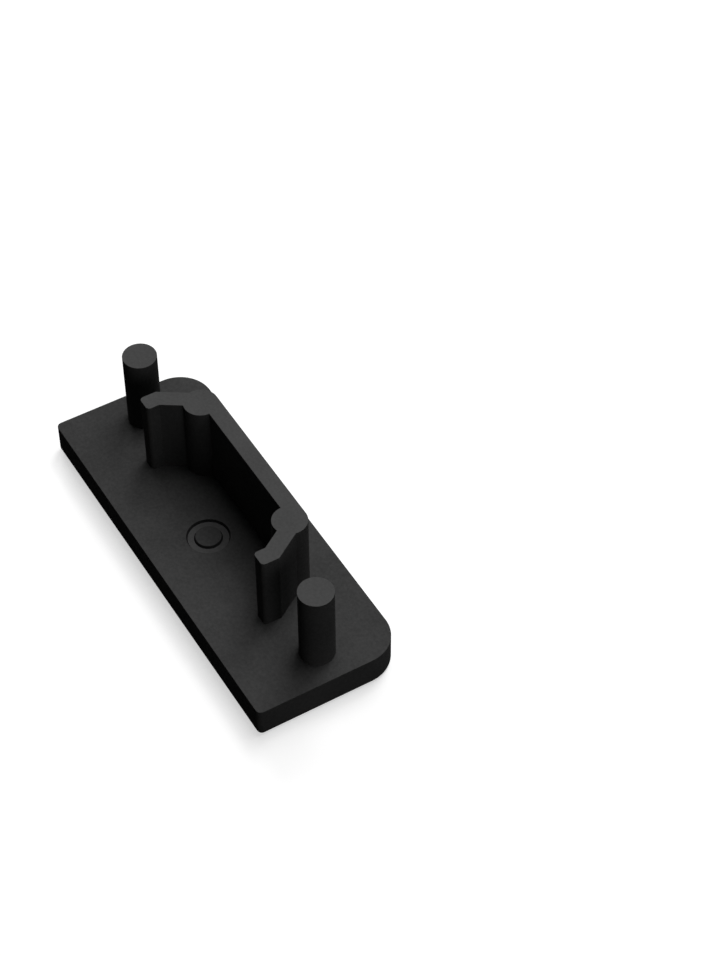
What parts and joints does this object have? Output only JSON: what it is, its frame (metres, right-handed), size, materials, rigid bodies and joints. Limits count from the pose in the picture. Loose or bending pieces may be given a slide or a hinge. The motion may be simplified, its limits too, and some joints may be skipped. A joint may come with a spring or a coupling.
{
  "type": "profile end cap",
  "caption": "Moulded end cap for an extruded profile: a flat plate with rounded rear corners, round press-in pins and a hooked rail on its inner face.",
  "frame": {"origin": "centre of the plate's outer face, on the surface that it lies on", "axes": "+X along the plate, +Y towards the rear edge with the large corners, +Z out of the inner face, the way the pins and the rail point"},
  "size_m": [0.0304, 0.0114, 0.0088],
  "materials": {
    "moulded_plastic": "matte black, finely textured as moulded"
  },
  "bodies": {
    "root": {"end_cap": "moulded_plastic"}
  },
  "joints": []
}
